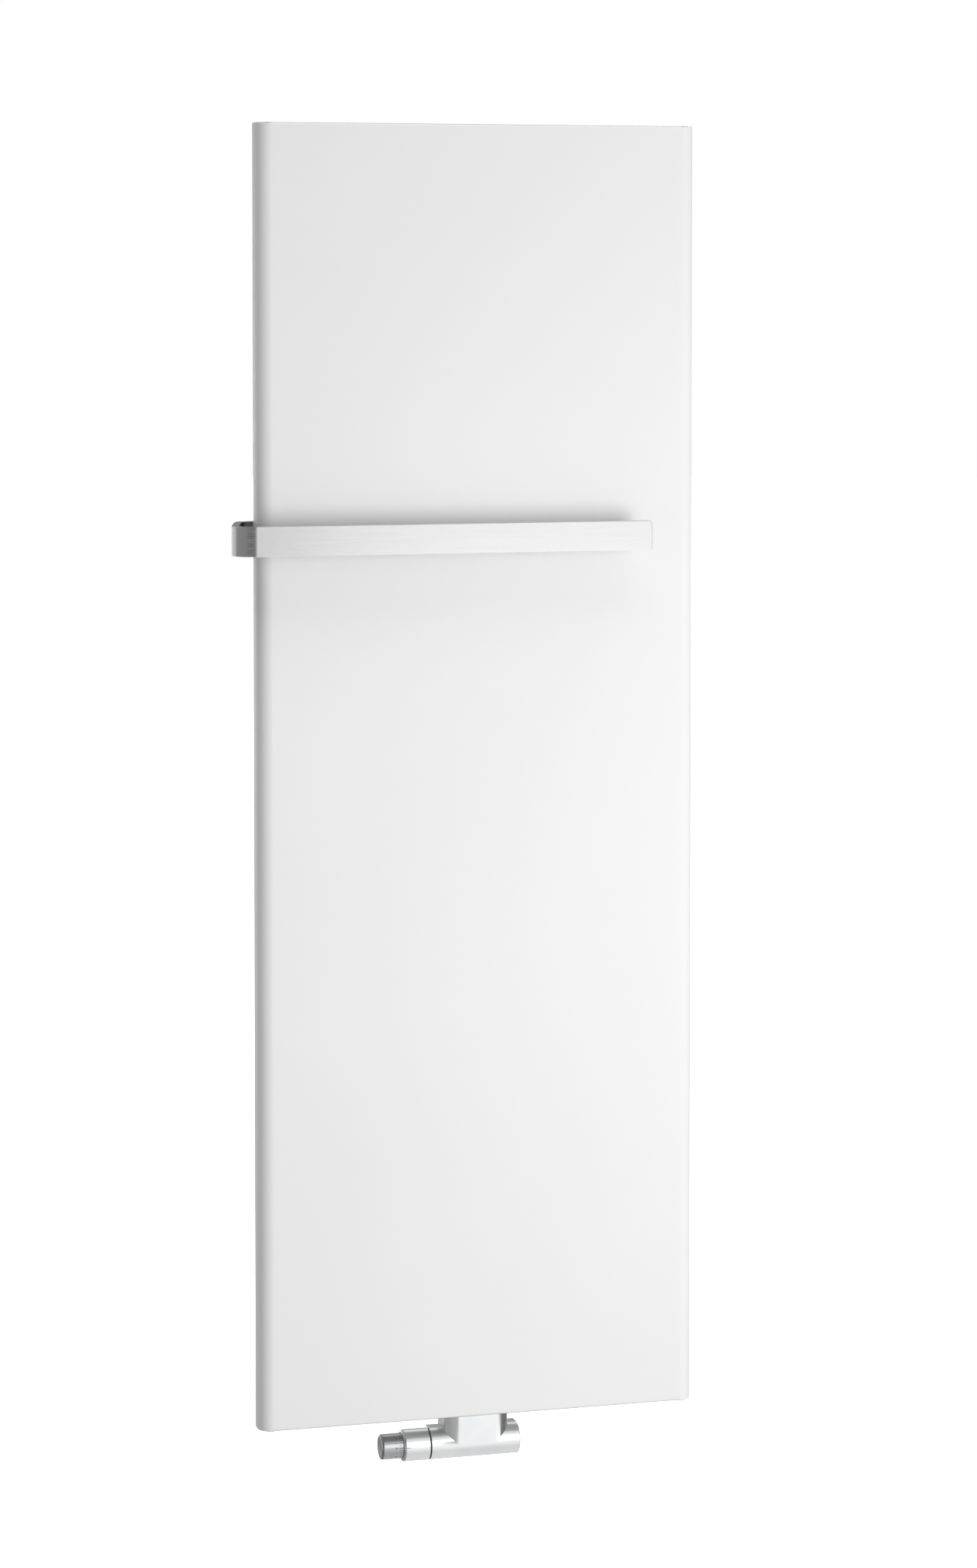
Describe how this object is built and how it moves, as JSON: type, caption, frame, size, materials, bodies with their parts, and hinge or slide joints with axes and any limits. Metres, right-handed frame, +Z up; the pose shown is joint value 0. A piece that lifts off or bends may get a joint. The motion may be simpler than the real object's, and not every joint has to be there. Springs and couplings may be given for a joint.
{
  "type": "radiator with thermostatic valve",
  "caption": "Tall flat steel panel radiator for a wall, with a hooked flat towel rail and a covered twin-pipe thermostatic valve under its lower edge.",
  "frame": {"origin": "on the wall plane, in the middle of the four wall screw holes, which is the middle of the panel's width and height", "axes": "+Z up, +Y into the wall so the front faces -Y, +X to the right as seen from the front"},
  "size_m": [0.6655, 0.151, 1.865],
  "materials": {
    "white_enamel": "satin white powder coat",
    "brushed_steel": "brushed along the bar",
    "satin_chrome": "satin chrome",
    "dark_chrome": "darker satin chrome with a black scale",
    "nickel": "nickel-plated brass",
    "brass": "machined",
    "zinc": "zinc-plated steel",
    "bare_steel": "bare steel",
    "rubber": "matte",
    "nylon": "natural nylon",
    "black_plastic": "moulded, matte"
  },
  "bodies": {
    "radiator": {"front_panel": "white_enamel", "water_tube_1": "white_enamel", "water_tube_2": "white_enamel", "water_tube_3": "white_enamel", "water_tube_4": "white_enamel", "water_tube_5": "white_enamel", "water_tube_6": "white_enamel", "water_tube_7": "white_enamel", "water_tube_8": "white_enamel", "bottom_header": "white_enamel", "top_header": "white_enamel", "header_end_caps": "white_enamel", "flow_divider": "bare_steel", "supply_socket": "white_enamel", "return_socket": "white_enamel", "vent_sockets": "white_enamel", "vent_plug": "nickel", "blind_plug": "nickel", "plug_seals": "rubber", "hanger_lugs": "white_enamel", "bracket_upper_left": "zinc", "bracket_upper_right": "zinc", "bracket_lower_left": "zinc", "bracket_lower_right": "zinc", "bracket_pads": "nylon", "towel_rail": "brushed_steel", "rail_post_outer": "white_enamel", "rail_post_inner": "white_enamel", "rail_screws": "zinc", "valve_body": "nickel", "supply_nipple": "nickel", "return_nipple": "nickel", "supply_union_nut": "nickel", "return_union_nut": "nickel", "union_gaskets": "rubber", "cock_gland": "nickel", "cock_seal": "rubber", "valve_insert": "brass", "insert_seal": "rubber", "pin_spring": "bare_steel", "head_union_nut": "nickel", "head_carrier": "black_plastic", "collar": "satin_chrome", "valve_cover": "satin_chrome", "cover_clip": "black_plastic"},
    "knob": {"knob": "dark_chrome"},
    "plunger": {"valve_pin": "bare_steel", "cone_seal": "rubber", "sensor_element": "brass", "sensor_pusher": "nylon"},
    "return_cock": {"return_cock": "brass"},
    "bleed_screw": {"bleed_screw": "brass"}
  },
  "joints": [
    {"name": "knob_turn", "type": "hinge", "parent": "radiator", "child": "knob", "pos_m": [-0.12, -0.07, -0.943], "axis": [1, 0, 0], "range_deg": [-90, 135]},
    {"name": "pin_slide", "type": "slide", "parent": "radiator", "child": "plunger", "axis": [1, 0, 0], "range_m": [-0.001, 0.0015], "deforming": ["pin_spring"]},
    {"name": "return_shutoff", "type": "hinge", "parent": "radiator", "child": "return_cock", "pos_m": [0.025, -0.07, -0.943], "axis": [0, 1, 0], "range_deg": [0, 90]},
    {"name": "bleed_turn", "type": "hinge", "parent": "radiator", "child": "bleed_screw", "pos_m": [0.24995, -0.07, 0.89], "axis": [0, 0, 1], "range_deg": [0, 270]}
  ],
  "couplings": [
    {"joint": "pin_slide", "follows": "knob_turn", "m_per_rad": 0.0006366}
  ]
}
